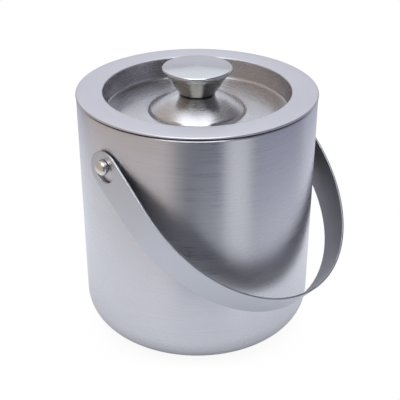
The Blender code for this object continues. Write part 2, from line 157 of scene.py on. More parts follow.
BODY_STEPS = 192
KNOB_STEPS = 112
STUD_STEPS = 56
CUTTER_STEPS = 48
EDGE_STEPS = 3
WALL_STEPS = 14
DOME_STEPS = 24
CROWN_STEPS = 12
STRIP_COLUMNS = 16
LEG_STEPS = 6
BOW_STEPS = 128
HOLE_HALF_STEPS = 40
HOLE_SIDE_STEPS = 8
HOLE_LAYERS = (0.0, 0.12, 0.35, 0.65, 1.0)  # from the pivot hole's wall out to the strip's outline
SHARP_ANGLE = 38
STRIP_SHARP_ANGLE = 60
STRIP_BEVEL_ANGLE = 50
MITRE_LIMIT = 0.5
ON_AXIS = 1e-7

# ---------------------------------------------------------------- mesh helpers


def arc(centre_r, centre_z, radius, start, end, count):
    angles = [math.radians(start + (end - start) * i / count) for i in range(count + 1)]
    return [(centre_r + radius * math.cos(a), centre_z + radius * math.sin(a)) for a in angles]


def smoothstep(t):
    t = min(max(t, 0.0), 1.0)
    return t * t * (3 - 2 * t)


def unit(vector):
    length = math.hypot(*vector)
    return (vector[0] / length, vector[1] / length)


def behind(path, thickness):
    """The path moved back by the sheet's thickness, with mitred corners."""
    sides = []
    for (r0, z0), (r1, z1) in zip(path, path[1:]):
        dr, dz = unit((r1 - r0, z1 - z0))
        sides.append((-dz, dr))
    sides = [sides[0]] + sides + [sides[-1]]
    moved = []
    for (r, z), before, after in zip(path, sides, sides[1:]):
        nr, nz = unit((before[0] + after[0], before[1] + after[1]))
        reach = thickness / max(nr * after[0] + nz * after[1], MITRE_LIMIT)
        moved.append((r - nr * reach if r > 0 else 0.0, z - nz * reach))
    return moved


def rounded_edge(front, back):
    """The sheet's deburred edge, from front skin to back skin: a quarter round, a flat, a quarter round."""
    ahead = unit((front[-1][0] - front[-2][0], front[-1][1] - front[-2][1]))
    inward = unit((back[-1][0] - front[-1][0], back[-1][1] - front[-1][1]))
    turns = [math.pi / 2 * i / EDGE_STEPS for i in range(1, EDGE_STEPS + 1)]
    points = []
    for (r, z), sign, order in ((front[-1], 1, turns), (back[-1], -1, turns[::-1])):
        for a in order:
            deep, out = EDGE_ROUND * (1 - math.cos(a)) * sign, EDGE_ROUND * math.sin(a)
            points.append((r + inward[0] * deep + ahead[0] * out, z + inward[1] * deep + ahead[1] * out))
    return points


def shortened(path, length):
    """The path with its last point drawn back, so that a rounded edge ends where the sheet does."""
    dr, dz = unit((path[-1][0] - path[-2][0], path[-1][1] - path[-2][1]))
    return path[:-1] + [(path[-1][0] - dr * length, path[-1][1] - dz * length)]


def sheet_outline(path, thickness):
    """Closed outline of turned sheet metal. Ends that aren't on the axis are rounded."""
    if path[0][0] > 0:
        path = shortened(path[::-1], EDGE_ROUND)[::-1]
    if path[-1][0] > 0:
        path = shortened(path, EDGE_ROUND)
    back = behind(path, thickness)
    outline = list(path)
    if path[-1][0] > 0:
        outline += rounded_edge(path, back)
    outline += back[::-1]
    if path[0][0] > 0:
        outline += rounded_edge(back[::-1], path[::-1])
    return outline


def mesh_object(name, vertices, faces):
    mesh = bpy.data.meshes.new(name)
    mesh.from_pydata(vertices, [], faces)
    mesh.shade_smooth()
    mesh.set_sharp_from_angle(angle=math.radians(SHARP_ANGLE))
    obj = bpy.data.objects.new(name, mesh)
    bpy.context.scene.collection.objects.link(obj)
    return obj


def revolve(name, outline, steps, closed=True):
    """Turns a clockwise (r, z) outline about Z. Points on the axis become one vertex."""
    vertices, rings = [], []
    for r, z in outline:
        if r < ON_AXIS:
            rings.append([len(vertices)] * steps)
            vertices.append((0.0, 0.0, z))
        else:
            rings.append(list(range(len(vertices), len(vertices) + steps)))
            for j in range(steps):
                a = 2 * math.pi * j / steps
                vertices.append((r * math.cos(a), r * math.sin(a), z))
    faces = []
    pairs = list(zip(rings, rings[1:])) + ([(rings[-1], rings[0])] if closed else [])
    for upper, lower in pairs:
        for j in range(steps):
            k = (j + 1) % steps
            corners = [upper[j], lower[j], lower[k], upper[k]]
            face = [c for i, c in enumerate(corners) if c != corners[i - 1]]
            if len(face) > 2:
                faces.append(face)
    return mesh_object(name, vertices, faces)


def applied(obj, sharp=SHARP_ANGLE):
    """Bakes the modifiers into the mesh."""
    bpy.context.view_layer.update()
    graph = bpy.context.evaluated_depsgraph_get()
    mesh = bpy.data.meshes.new_from_object(obj.evaluated_get(graph))
    obj.modifiers.clear()
    obj.data = mesh
    mesh.set_sharp_from_angle(angle=math.radians(sharp))


# ---------------------------------------------------------------- shader helpers


RANGE_SOCKETS = ("Value", "From Min", "From Max", "To Min", "To Max")


class Paint:
    """The node tree of a material or a world, with short calls for its nodes."""

    def __init__(self, owner):
        owner.use_nodes = True
        self.owner = owner
        self.tree = owner.node_tree

    def node(self, kind, values=None, **settings):
        made = self.tree.nodes.new("ShaderNode" + kind)
        for key, value in settings.items():
            setattr(made, key, value)
        for key, value in (values or {}).items():
            self.feed(made.inputs[key], value)
        return made

    def feed(self, socket, value):
        if isinstance(value, bpy.types.NodeSocket):
            self.tree.links.new(value, socket)
        else:
            socket.default_value = value

    def maths(self, operation, *values, clamp=False):
        made = self.node("Math", operation=operation, use_clamp=clamp)
        for socket, value in zip(made.inputs, values):
            self.feed(socket, value)
        return made.outputs[0]

    def noise(self, vector, scale, detail=2.0, roughness=0.5, distortion=0.0):
        values = {"Vector": vector, "Scale": scale, "Detail": detail}
        values.update({"Roughness": roughness, "Distortion": distortion})
        return self.node("TexNoise", values).outputs["Fac"]

    def ranged(self, value, low, high, to_low, to_high, smooth=False):
        made = self.node("MapRange", interpolation_type="SMOOTHSTEP" if smooth else "LINEAR")
        for key, v in zip(RANGE_SOCKETS, (value, low, high, to_low, to_high)):
            self.feed(made.inputs[key], v)
        return made.outputs[0]

    def mixed(self, factor, first, second):
        made = self.node("Mix", data_type="RGBA")
        self.feed(made.inputs[0], factor)
        for socket, value in ((made.inputs[6], first), (made.inputs[7], second)):
            self.feed(socket, (*value, 1.0) if isinstance(value, tuple) and len(value) == 3 else value)
        return made.outputs[2]

    def combined(self, x, y, z):
        return self.node("CombineXYZ", {"X": x, "Y": y, "Z": z}).outputs[0]

    def bump(self, height, strength, distance):
        values = {"Strength": strength, "Distance": distance, "Height": height}
        return self.node("Bump", values).outputs[0]

    def axes(self, vector):
        """The x, y and z of a vector."""
        return self.node("SeparateXYZ", {"Vector": vector}).outputs

    def object_place(self):
        return self.node("TexCoord").outputs["Object"]

    def set(self, **values):
        shader = self.tree.nodes["Principled BSDF"]
        for key, value in values.items():
            self.feed(shader.inputs[key.replace("_", " ")], value)


COARSE_SHARE = 0.45  # coarse bands run further along the grain than the fine lines do


def grain(paint, along, across, scale, fine, coarse):
    """Fine lines and coarse bands of noise, stretched along the grain."""

    def lines(per_metre, stretch):
        vector = [paint.maths("MULTIPLY", value, stretch) for value in along]
        vector.append(paint.maths("MULTIPLY", across, per_metre))
        vector += [0.0] * (3 - len(vector))
        return paint.noise(paint.combined(*vector), 1.0, 3.0, 0.65)

    return lines(fine, scale), lines(coarse, scale * COARSE_SHARE)


def turned_grain(paint, *scales):
    """Grain that runs round the Z axis, without a seam."""
    x, y, z = paint.axes(paint.object_place())
    flat = paint.combined(x, y, 0.0)
    radius = paint.node("VectorMath", {0: flat}, operation="LENGTH").outputs["Value"]
    direction = paint.node("VectorMath", {0: flat}, operation="NORMALIZE").outputs["Vector"]
    return grain(paint, paint.axes(direction)[:2], paint.maths("ADD", z, radius), *scales)


def long_grain(paint, *scales):
    """Grain that runs along the U axis of the piece's UV map, which is in metres."""
    u, v, _ = paint.axes(paint.node("UVMap", uv_map="strip").outputs[0])
    return grain(paint, [u], v, *scales)


ACROSS_GROOVES = 0.25  # the highlight is stretched across the grooves, a quarter turn from the tangent
GROOVE_BUMP = 0.02
SMUDGE = 0.03  # how much rougher handling marks make the metal
EDGE_WEAR = 0.10  # how much rubbed edges are lightened
RUBBED_STEEL = (0.82, 0.82, 0.84)
STAIN_TINT = (0.96, 0.94, 0.90)


def steel(name, made_grain, scales, colour, roughness, anisotropy, tone=0.03, spread=0.03):
    """Brushed stainless steel: grooves, uneven polish, faint handling marks and rubbed edges."""
    paint = Paint(bpy.data.materials.new(name))
    fine, coarse = made_grain(paint, *scales)
    coords = paint.object_place()
    mottle = paint.noise(coords, 26.0, 3.0, 0.6)
    light = tuple(min(1.0, c * (1 + tone)) for c in colour)
    dark = tuple(c * (1 - tone) for c in colour)
    lines = paint.maths("ADD", paint.maths("MULTIPLY", fine, 0.6), paint.maths("MULTIPLY", coarse, 0.4))
    base = paint.mixed(paint.ranged(lines, 0.34, 0.66, 0.0, 1.0), dark, light)
    stain = paint.ranged(paint.noise(coords, 9.0, 4.0, 0.6, 0.6), 0.5, 0.72, 0.0, 0.35)
    base = paint.mixed(stain, base, tuple(c * s for c, s in zip(colour, STAIN_TINT)))
    point = paint.node("NewGeometry").outputs["Pointiness"]
    edge = paint.ranged(point, 0.52, 0.60, 0.0, EDGE_WEAR, smooth=True)
    base = paint.mixed(edge, base, RUBBED_STEEL)

    scratch = paint.node("TexVoronoi", {"Vector": coords, "Scale": 210.0}, feature="DISTANCE_TO_EDGE")
    scratch = paint.ranged(scratch.outputs[0], 0.0, 0.012, 1.0, 0.0)
    scratch = paint.maths("MULTIPLY", scratch, paint.ranged(mottle, 0.56, 0.70, 0.0, 1.0))
    rough = paint.ranged(lines, 0.35, 0.65, roughness - spread, roughness + spread)
    rough = paint.maths("ADD", rough, paint.ranged(mottle, 0.35, 0.7, -SMUDGE * 0.5, SMUDGE))
    rough = paint.maths("SUBTRACT", rough, paint.maths("MULTIPLY", edge, 0.5))
    rough = paint.maths("ADD", rough, paint.maths("MULTIPLY", scratch, 0.06), clamp=True)

    height = paint.maths("ADD", lines, paint.maths("MULTIPLY", scratch, -0.35))
    paint.set(
        Base_Color=base,
        Metallic=1.0,
        Roughness=rough,
        Anisotropic=anisotropy,
        Anisotropic_Rotation=ACROSS_GROOVES,
        Normal=paint.bump(height, GROOVE_BUMP, 0.0002),
    )
    return paint


def around(paint):
    """Runs the grooves round the Z axis."""
    paint.set(Tangent=paint.node("Tangent", direction_type="RADIAL", axis="Z").outputs[0])
    return paint.owner


def turned_steel(name, *finish, **unevenness):
    return around(steel(name, turned_grain, *finish, **unevenness))


def strip_steel(name, *finish):
    """Steel whose grooves run along the handle strip."""
    paint = steel(name, long_grain, *finish)
    paint.set(Tangent=paint.node("Tangent", direction_type="UV_MAP", uv_map="strip").outputs[0])
    return paint.owner


# Each has its grain (stretch, fine lines and coarse bands per metre), colour, roughness and anisotropy.
BODY_STEEL = turned_steel(
    "brushed_body_steel", (4.0, 3200.0, 900.0), (0.63, 0.63, 0.68), 0.30, 0.75, tone=0.07, spread=0.05
)
RING_STEEL = turned_steel("satin_ring_steel", (4.0, 3600.0, 1200.0), (0.60, 0.59, 0.635), 0.40, 0.20)
SPUN_STEEL = turned_steel(
    "spun_recess_steel", (4.0, 3000.0, 1000.0), (0.60, 0.59, 0.61), 0.24, 0.93, tone=0.06, spread=0.05
)
KNOB_STEEL = turned_steel("satin_knob_steel", (3.0, 3000.0, 1000.0), (0.59, 0.59, 0.615), 0.17, 0.65)
# The knob's cone is far darker than its cap: painted shade under the cap's rim.
SHADED_NECK_STEEL = turned_steel("neck_steel_painted_shade", (3.0, 2600.0, 900.0), (0.34, 0.335, 0.31), 0.28, 0.65)
STUD_STEEL = turned_steel("satin_stud_steel", (3.0, 4200.0, 1500.0), (0.71, 0.69, 0.66), 0.30, 0.30)
LINER_STEEL = turned_steel("satin_liner_steel", (5.0, 3000.0, 900.0), (0.66, 0.65, 0.65), 0.40, 0.30)
STRIP_STEEL = strip_steel("brushed_strip_steel", (30.0, 3200.0, 1100.0), (0.55, 0.565, 0.62), 0.32, 0.70)
# The strip's inner faces are darker than its outside: painted shade where they face the bucket.
SHADED_STRIP_BACK_STEEL = strip_steel("strip_back_steel_painted_shade", (30.0, 2600.0, 900.0), (0.40, 0.395, 0.40), 0.34, 0.60)


def fastener_steel(name, colour, roughness):
    """Plain turned steel, a little blotchy."""
    paint = Paint(bpy.data.materials.new(name))
    coords = paint.object_place()
    marks = paint.noise(coords, 900.0, 3.0, 0.7)
    blotch = paint.noise(coords, 120.0, 3.0, 0.5)
    base = paint.mixed(blotch, tuple(c * 0.8 for c in colour), tuple(min(1.0, c * 1.12) for c in colour))
    paint.set(
        Base_Color=base,
        Metallic=1.0,
        Roughness=paint.ranged(marks, 0.3, 0.7, roughness - 0.06, roughness + 0.10),
        Anisotropic=0.3,
        Normal=paint.bump(marks, 0.12, 0.0001),
    )
    return around(paint)


def zinc_plating(name):
    """Dull zinc with a fine spangle."""
    paint = Paint(bpy.data.materials.new(name))
    coords = paint.object_place()
    spangle = paint.node("TexVoronoi", {"Vector": coords, "Scale": 260.0, "Randomness": 1.0}, feature="F1")
    tone = paint.node("SeparateColor", {0: spangle.outputs["Color"]}).outputs[0]
    marks = paint.noise(coords, 700.0, 3.0, 0.6)
    paint.set(
        Base_Color=paint.mixed(tone, (0.42, 0.44, 0.46), (0.66, 0.67, 0.66)),
        Metallic=1.0,
        Roughness=paint.ranged(tone, 0.0, 1.0, 0.30, 0.52),
        Normal=paint.bump(paint.maths("ADD", marks, tone), 0.10, 0.0001),
    )
    return paint.owner


def bead_foam(name):
    """Moulded expanded beads: pale cells pressed flat against each other, with darker joints."""
    paint = Paint(bpy.data.materials.new(name))
    coords = paint.object_place()
    beads = {"Vector": coords, "Scale": 360.0}
    cell = paint.node("TexVoronoi", beads, feature="DISTANCE_TO_EDGE").outputs[0]
    tone = paint.node("TexVoronoi", beads, feature="F1").outputs["Color"]
    tone = paint.node("SeparateColor", {0: tone}).outputs[0]
    joint = paint.ranged(cell, 0.0, 0.08, 0.0, 1.0, smooth=True)
    base = paint.mixed(tone, (0.82, 0.82, 0.79), (0.91, 0.91, 0.88))
    base = paint.mixed(joint, (0.60, 0.59, 0.55), base)
    fine = paint.noise(coords, 2400.0, 2.0, 0.6)
    paint.set(
        Base_Color=base,
        Roughness=paint.ranged(fine, 0.3, 0.7, 0.72, 0.92),
        Subsurface_Weight=0.05,
        Normal=paint.bump(paint.maths("ADD", joint, paint.maths("MULTIPLY", fine, 0.3)), 0.5, 0.0004),
    )
    return paint.owner


def moulded_nylon(name):
    """Grey nylon with faint flow marks."""
    paint = Paint(bpy.data.materials.new(name))
    coords = paint.object_place()
    marks = paint.noise(coords, 1500.0, 3.0, 0.6)
    flow = paint.noise(coords, 40.0, 3.0, 0.6, 1.2)
    paint.set(
        Base_Color=paint.mixed(flow, (0.26, 0.26, 0.27), (0.36, 0.36, 0.37)),
        Roughness=paint.ranged(marks, 0.3, 0.7, 0.42, 0.60),
        Normal=paint.bump(marks, 0.15, 0.0002),
    )
    return paint.owner


def black_rubber(name):
    """Matt black rubber with a pale bloom in places."""
    paint = Paint(bpy.data.materials.new(name))
    coords = paint.object_place()
    marks = paint.noise(coords, 1800.0, 3.0, 0.7)
    bloom = paint.ranged(paint.noise(coords, 60.0, 3.0, 0.6), 0.45, 0.75, 0.0, 1.0)
    paint.set(
        Base_Color=paint.mixed(bloom, (0.012, 0.012, 0.013), (0.035, 0.035, 0.037)),
        Roughness=paint.ranged(marks, 0.3, 0.7, 0.55, 0.78),
        Normal=paint.bump(marks, 0.25, 0.0002),
    )
    return paint.owner


PLAIN_STEEL = fastener_steel("turned_fastener_steel", (0.55, 0.55, 0.55), 0.36)
ZINC = zinc_plating("zinc_plating")
FOAM = bead_foam("white_bead_foam")
NYLON = moulded_nylon("grey_moulded_nylon")
RUBBER = black_rubber("black_rubber")


def dressed(obj, paint, body, replaced):
    """Gives a piece its material and body, and hides the CAD node it stands for."""
    obj.data.materials.clear()
    obj.data.materials.append(paint)
    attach(obj, body)
    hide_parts(replaced)


def repaint(paint, *nodes):
    """Gives CAD nodes that stay as they are their material."""
    for name in nodes:
        mesh = NODES[name].data
        mesh.materials.clear()
        mesh.materials.append(paint)


# ---------------------------------------------------------------- bucket


def hole_cutter():
    """A turned rod along X, used to cut the stud holes and then removed."""
    radius = SHELL_HOLE_RADIUS
    outline = [(0, CUT_REACH), (radius, CUT_REACH), (radius, -CUT_REACH), (0, -CUT_REACH)]
    rod = revolve("hole_cutter", outline, CUTTER_STEPS, closed=False)
    rod.data.transform(Matrix.Translation((0, 0, STUD_Z)) @ Matrix.Rotation(math.pi / 2, 4, "Y"))
    return rod


def shell_skin():
    """The drawn outer cup, with its top edge rolled in."""
    path = [(SHELL_ROLL_END, SHELL_TOP)]
    path += arc(BODY_RADIUS - SHELL_ROLL, SHELL_TOP - SHELL_ROLL, SHELL_ROLL, 90, 0, 10)
    top, low = SHELL_TOP - SHELL_ROLL, BASE_CORNER
    path += [(BODY_RADIUS, top + (low - top) * i / WALL_STEPS) for i in range(1, WALL_STEPS)]
    path += arc(BODY_RADIUS - BASE_CORNER, BASE_CORNER, BASE_CORNER, 0, -90, 28)
    path += [(r, 0.0) for r in BASE_RINGS]
    outline = sheet_outline(path, SHELL_THICKNESS)
    shell = revolve("shell_skin", outline, BODY_STEPS, closed=False)
    cutter = hole_cutter()
    holes = shell.modifiers.new("stud_holes", "BOOLEAN")
    holes.operation, holes.solver, holes.object = "DIFFERENCE", "EXACT", cutter
    applied(shell)
    bpy.data.objects.remove(cutter)
    dressed(shell, BODY_STEEL, "bucket", "outer_shell")


def liner_cup():
    """The drawn ice cup, with a flange that steps down under the shell's rolled edge."""
    path = [(r, LINER_FLOOR) for r in LINER_RINGS]
    path += arc(LINER_RADIUS - LINER_CORNER, LINER_FLOOR + LINER_CORNER, LINER_CORNER, -90, 0, 20)
    low, top = LINER_FLOOR + LINER_CORNER, FLANGE_TOP - LINER_THROAT
    path += [(LINER_RADIUS, low + (top - low) * i / 12) for i in range(1, 12)]
    path += arc(LINER_RADIUS + LINER_THROAT, FLANGE_TOP - LINER_THROAT, LINER_THROAT, 180, 90, 10)
    path += [(FLANGE_STEP_START, FLANGE_TOP), (FLANGE_STEP_END, FLANGE_TOP - FLANGE_DROP)]
    path += [(FLANGE_RADIUS, FLANGE_TOP - FLANGE_DROP)]
    outline = sheet_outline(path, LINER_THICKNESS)
    cup = revolve("liner_cup", outline, BODY_STEPS, closed=False)
    dressed(cup, LINER_STEEL, "bucket", "inner_liner")


def stud(label, side):
    """The turned pivot stud, made about its own Z axis and laid along X."""
    turns = [math.pi / 2 * i / 14 for i in range(1, 15)]
    outline = [(0.0, STUD_END)]
    outline += [(STUD_HEAD_RADIUS * math.sin(a), STUD_END - STUD_CROWN * (1 - math.cos(a))) for a in turns]
    lip = STUD_LIP_ROUND
    outline += arc(STUD_HEAD_RADIUS - lip, STUD_NECK_END + lip, lip, 0, -90, 4)
    outline += [(STUD_NECK_RADIUS, STUD_NECK_END), (STUD_NECK_RADIUS, STUD_NECK_START)]
    outline += [(STUD_SHANK_RADIUS, STUD_NECK_START)]
    pitch = (STUD_NECK_START - STUD_SHANK_END - 2 * THREAD_RUNOUT) / THREAD_RINGS
    for i in range(THREAD_RINGS):  # rolled thread, as rings
        z = STUD_NECK_START - THREAD_RUNOUT - pitch * i
        outline += [(STUD_SHANK_RADIUS, z), (STUD_SHANK_RADIUS - THREAD_DEPTH, z - pitch / 2)]
    outline += [(STUD_SHANK_RADIUS - STUD_TIP_INSET, STUD_SHANK_END), (0.0, STUD_SHANK_END)]
    obj = revolve(f"stud_{label}", outline, STUD_STEPS, closed=False)
    obj.matrix_world = Matrix.Translation((0, 0, STUD_Z)) @ Matrix.Rotation(side * math.pi / 2, 4, "Y")
    dressed(obj, STUD_STEEL, "bucket", f"pivot_stud_{label}")


# ---------------------------------------------------------------- handle


def strip_width(distance):
    """The strip's width at a distance from the pivot holes' line."""
    return STRIP_END_WIDTH + (STRIP_MIDDLE_WIDTH - STRIP_END_WIDTH) * smoothstep(distance / STRIP_REACH)


def leg_y(i):
    """The y of step i down a straight leg."""
    end = STRIP_END_WIDTH / 2
    return -end - (STRIP_LEG - end) * i / LEG_STEPS


def strip_stations():
    """Points (x, y, travel) of the strip's centre line between the two hole patches."""
    line = [(-STRIP_SPAN, leg_y(i)) for i in range(LEG_STEPS)]
    bow = STRIP_REACH - STRIP_LEG
    turns = [math.pi * i / BOW_STEPS for i in range(BOW_STEPS + 1)]
    line += [(-STRIP_SPAN * math.cos(a), -STRIP_LEG - bow * math.sin(a)) for a in turns]
    line += [(STRIP_SPAN, leg_y(i)) for i in range(LEG_STEPS - 1, -1, -1)]
    travel, stations = STRIP_END_WIDTH / 2, []
    for i, (x, y) in enumerate(line):
        if i:
            travel += math.hypot(x - line[i - 1][0], y - line[i - 1][1])
        stations.append((x, y, travel))
    return stations


def handle_bail():
    """The bent strip: a grid along the grip, and at each end a fan of faces round the pivot hole."""
    shape = bmesh.new()
    uv_of = {}

    def point(x, y, across, travel):
        made = shape.verts.new((x, y, across))
        uv_of[made] = (travel, across)
        return made

    stations = strip_stations()
    grid = []
    for x, y, travel in stations:
        half = strip_width(-y) / 2
        row = [half * (1 - 2 * i / STRIP_COLUMNS) for i in range(STRIP_COLUMNS + 1)]
        grid.append([point(x, y, across, travel) for across in row])
    for first, second in zip(grid, grid[1:]):
        for i in range(STRIP_COLUMNS):
            shape.faces.new((first[i], first[i + 1], second[i + 1], second[i]))

    end = STRIP_END_WIDTH / 2
    total = stations[-1][2] + end
    steps = [end * i / HOLE_SIDE_STEPS for i in range(1, HOLE_SIDE_STEPS)]
    for side, joint in ((-1, grid[0][::-1]), (1, grid[-1][::-1])):
        # the outline round the hole: a half circle, one side, the joint with the grid, the other side
        rim = arc(0.0, 0.0, end, 90, 270, HOLE_HALF_STEPS)
        rim += [(s, -strip_width(s) / 2) for s in steps]
        first_shared = len(rim)
        rim += [(end, corner.co.z) for corner in joint]
        rim += [(s, strip_width(s) / 2) for s in steps[::-1]]
        layers = []
        for share in HOLE_LAYERS:
            layer = []
            for i, (s, across) in enumerate(rim):
                if share == 1.0 and 0 <= i - first_shared < len(joint):
                    layer.append(joint[i - first_shared])
                    continue
                angle = math.atan2(across, s)
                hole = (HOLE_RADIUS * math.cos(angle), HOLE_RADIUS * math.sin(angle))
                ps, pa = hole[0] + (s - hole[0]) * share, hole[1] + (across - hole[1]) * share
                travel = ps if side < 0 else total - ps
                layer.append(point(side * STRIP_SPAN, -ps, pa, travel))
            layers.append(layer)
        for inner, outer in zip(layers, layers[1:]):
            for i in range(len(rim)):
                k = (i + 1) % len(rim)
                shape.faces.new((inner[i], inner[k], outer[k], outer[i]))
    bmesh.ops.recalc_face_normals(shape, faces=shape.faces)
    uv = shape.loops.layers.uv.new("strip")
    for face in shape.faces:
        for loop in face.loops:
            loop[uv].uv = uv_of[loop.vert]
    mesh = bpy.data.meshes.new("handle_bail")
    shape.to_mesh(mesh)
    shape.free()
    mesh.shade_smooth()
    bail = bpy.data.objects.new("handle_bail", mesh)
    bpy.context.scene.collection.objects.link(bail)
    wall = bail.modifiers.new("wall", "SOLIDIFY")
    wall.thickness, wall.offset, wall.use_even_offset = STRIP_THICKNESS, 0, True
    edges = bail.modifiers.new("rubbed_edges", "BEVEL")
    edges.width, edges.segments, edges.limit_method = STRIP_EDGE_ROUND, 3, "ANGLE"
    edges.angle_limit = math.radians(STRIP_BEVEL_ANGLE)
    applied(bail, STRIP_SHARP_ANGLE)
    weighted = bail.modifiers.new("even_shading", "WEIGHTED_NORMAL")
    weighted.keep_sharp = True
    bail.data.transform(Matrix.Translation((0, 0, HINGE_Z)) @ Matrix.Rotation(HANDLE_ANGLE, 4, "X"))
    dressed(bail, STRIP_STEEL, "handle", "handle_strip")
    # The second material, on the inner faces, is painted shade.
    bail.data.materials.append(SHADED_STRIP_BACK_STEEL)
    turn = Matrix.Rotation(-HANDLE_ANGLE, 3, "X")
    for face in bail.data.polygons:  # the inner faces, which look towards the bow's middle
        centre, normal = turn @ (face.center - Vector((0, 0, HINGE_Z))), turn @ face.normal
        outward = centre - Vector((0, max(centre.y, -STRIP_LEG), centre.z))
        looks_inwards = normal.dot(outward.normalized()) < -0.6
        if looks_inwards and abs(normal.z) < 0.3:
            face.material_index = 1


# ---------------------------------------------------------------- lid and knob


def lid_pan():
    """One pressing: rim, sunk floor and the dome."""
    foot = RECESS_FLOOR + DOME_FOOT
    fall, run = DOME_TOP - foot, DOME_RADIUS - DOME_FOOT_WIDTH - DOME_PAD
    path = [(SCREW_HOLE, DOME_TOP), (SCREW_FLAT, DOME_TOP)]
    for t in (i / DOME_STEPS for i in range(DOME_STEPS + 1)):
        path.append((DOME_PAD + run * t, DOME_TOP - fall * t**DOME_POWER))
    path += [(DOME_RADIUS - inset, foot + height) for inset, height in DOME_FOOT_STEPS]
    toe, bend = DOME_RADIUS - DOME_TOE_INSET, DOME_FOOT_ROUND
    path += [(toe, RECESS_FLOOR + bend)]
    path += arc(toe + bend, RECESS_FLOOR + bend, bend, 205, 270, 5)
    path += [(r, RECESS_FLOOR) for r in FLOOR_RINGS]
    path += arc(RECESS_RADIUS - RECESS_FILLET, RECESS_FLOOR + RECESS_FILLET, RECESS_FILLET, -90, 0, 10)
    low, top = RECESS_FLOOR + RECESS_FILLET, LID_TOP - RECESS_SHOULDER
    path += [(RECESS_RADIUS, low + (top - low) * i / 6) for i in range(1, 6)]
    path += arc(RECESS_RADIUS + RECESS_SHOULDER, LID_TOP - RECESS_SHOULDER, RECESS_SHOULDER, 180, 90, 8)
    path += [(r, LID_TOP) for r in RIM_RINGS]
    path += arc(LID_RADIUS - LID_EDGE, LID_TOP - LID_EDGE, LID_EDGE, 90, 0, 7)
    path += [(LID_RADIUS, LID_TOP - LID_EDGE_DROP)]
    pan = revolve("lid_pan", sheet_outline(path, LID_THICKNESS), BODY_STEPS)
    dressed(pan, SPUN_STEEL, "lid", "lid_top_pan")
    pan.data.materials.append(RING_STEEL)
    for face in pan.data.polygons:  # the flat rim, with its shoulder and edge
        on_top = face.center.z > LID_TOP - RING_DEPTH * RECESS_SHOULDER
        if on_top or math.hypot(*face.center[:2]) > RECESS_RADIUS + RECESS_SHOULDER:
            face.material_index = 1


def lid_plug():
    """The lower pan, which fits the liner's mouth."""
    path = [(PLUG_RADIUS, PLUG_TOP)]
    low = PLUG_BOTTOM + PLUG_CORNER
    path += [(PLUG_RADIUS, PLUG_TOP + (low - PLUG_TOP) * i / 6) for i in range(1, 6)]
    path += arc(PLUG_RADIUS - PLUG_CORNER, low, PLUG_CORNER, 0, -90, 12)
    path += [(r, PLUG_BOTTOM) for r in PLUG_RINGS]
    plug = revolve("lid_plug", sheet_outline(path, PLUG_THICKNESS), BODY_STEPS, closed=False)
    dressed(plug, LINER_STEEL, "lid", "lid_bottom_pan")


def knob_cone():
    """The knob's tapered foot, down to the pad that the screw pulls on."""
    path = [(KNOB_NECK_RADIUS, KNOB_NECK_TOP), (KNOB_NECK_RADIUS, KNOB_NECK_Z)]
    bend = KNOB_BASE_ROUND
    base = arc(KNOB_BASE_RADIUS - bend, KNOB_BASE + bend, bend, -30, -90, 6)
    fall_r, fall_z = base[0][0] - KNOB_NECK_RADIUS, base[0][1] - KNOB_NECK_Z
    path += [(KNOB_NECK_RADIUS + fall_r * i / 8, KNOB_NECK_Z + fall_z * i / 8) for i in range(1, 8)]
    path += base + [(SCREW_FLAT, KNOB_BASE), (SCREW_HOLE, KNOB_BASE)]
    cone = revolve("knob_cone", sheet_outline(path, KNOB_THICKNESS), KNOB_STEPS)
    # the cone's darker steel is painted shade under the knob's cap
    dressed(cone, SHADED_NECK_STEEL, "lid", "knob_body")


def knob_top():
    """The knob's crowned cap, with its rim turned under."""
    edge = KNOB_RADIUS - KNOB_RIM_ROUND
    rim_top = KNOB_TOP - KNOB_CROWN
    path = []
    for t in (i / CROWN_STEPS * KNOB_CROWN_SHARE for i in range(CROWN_STEPS + 1)):
        path.append((edge * t, rim_top + KNOB_CROWN * (1 - t * t)))
    path += arc(edge, rim_top - KNOB_RIM_ROUND, KNOB_RIM_ROUND, 84, 0, 8)
    low = rim_top - KNOB_RIM_ROUND - KNOB_RIM_HEIGHT
    path += [(KNOB_RADIUS, low), (KNOB_HEM_RADIUS, low - KNOB_HEM_DROP)]
    cap = revolve("knob_top", sheet_outline(path, KNOB_THICKNESS), KNOB_STEPS, closed=False)
    dressed(cap, KNOB_STEEL, "lid", "knob_cap")


shell_skin()
liner_cup()
for label, side in (("left", -1), ("right", 1)):
    stud(label, side)
handle_bail()
lid_pan()
lid_plug()
knob_cone()
knob_top()

repaint(NYLON, "rim_spacer_ring")
repaint(FOAM, "wall_insulation", "base_insulation", "lid_insulation")
repaint(RUBBER, "lid_gasket", "knob_seat_washer")
repaint(ZINC, "backing_plate_left", "backing_plate_right")
repaint(PLAIN_STEEL, "lock_washer_left", "lock_washer_right", "stud_nut_left", "stud_nut_right")
repaint(PLAIN_STEEL, "knob_nut", "knob_screw", "knob_screw_washer")

# ---------------------------------------------------------------- studio

VIEW_TURN = math.radians(45.5)  # from the model's axes to the studio's, where the front is -Y
FLOOR_RADIUS = 6.0
FLOOR_GAP = 0.0004
WHITE = (1.0, 1.0, 1.0)
BLACK = (0.0, 0.0, 0.0)

FRONT = (0.10, 0.11, 0.14)
WALLS = (
    # from and to, in degrees to the right of the front, softness and colour
    (-128, -20, 12, (0.56, 0.49, 0.44)),  # warm wall on the left
    (56, 112, 8, (0.32, 0.33, 0.42)),  # cool wall on the right
    (-200, -128, 12, (0.50, 0.50, 0.57)),  # backdrop, left of centre
    (114, 200, 10, (0.54, 0.55, 0.64)),  # backdrop, right of centre
)
CARD = (0.76, 0.77, 0.80)
HIGH_BACKDROP = (0.72, 0.73, 0.79)
DARK_CEILING = (0.10, 0.095, 0.085)
WARM_CEILING = (0.60, 0.53, 0.47)
BOX_LOW = (0.98, 1.02, 1.09)
BOX_MIDDLE = (1.08, 1.13, 1.20)
BOX_OVERHEAD = (1.9, 1.97, 2.05)
FRONT_BOX = (4.0, 4.1, 4.2)
MIRRORED_FLOOR = (0.93, 0.955, 1.0)

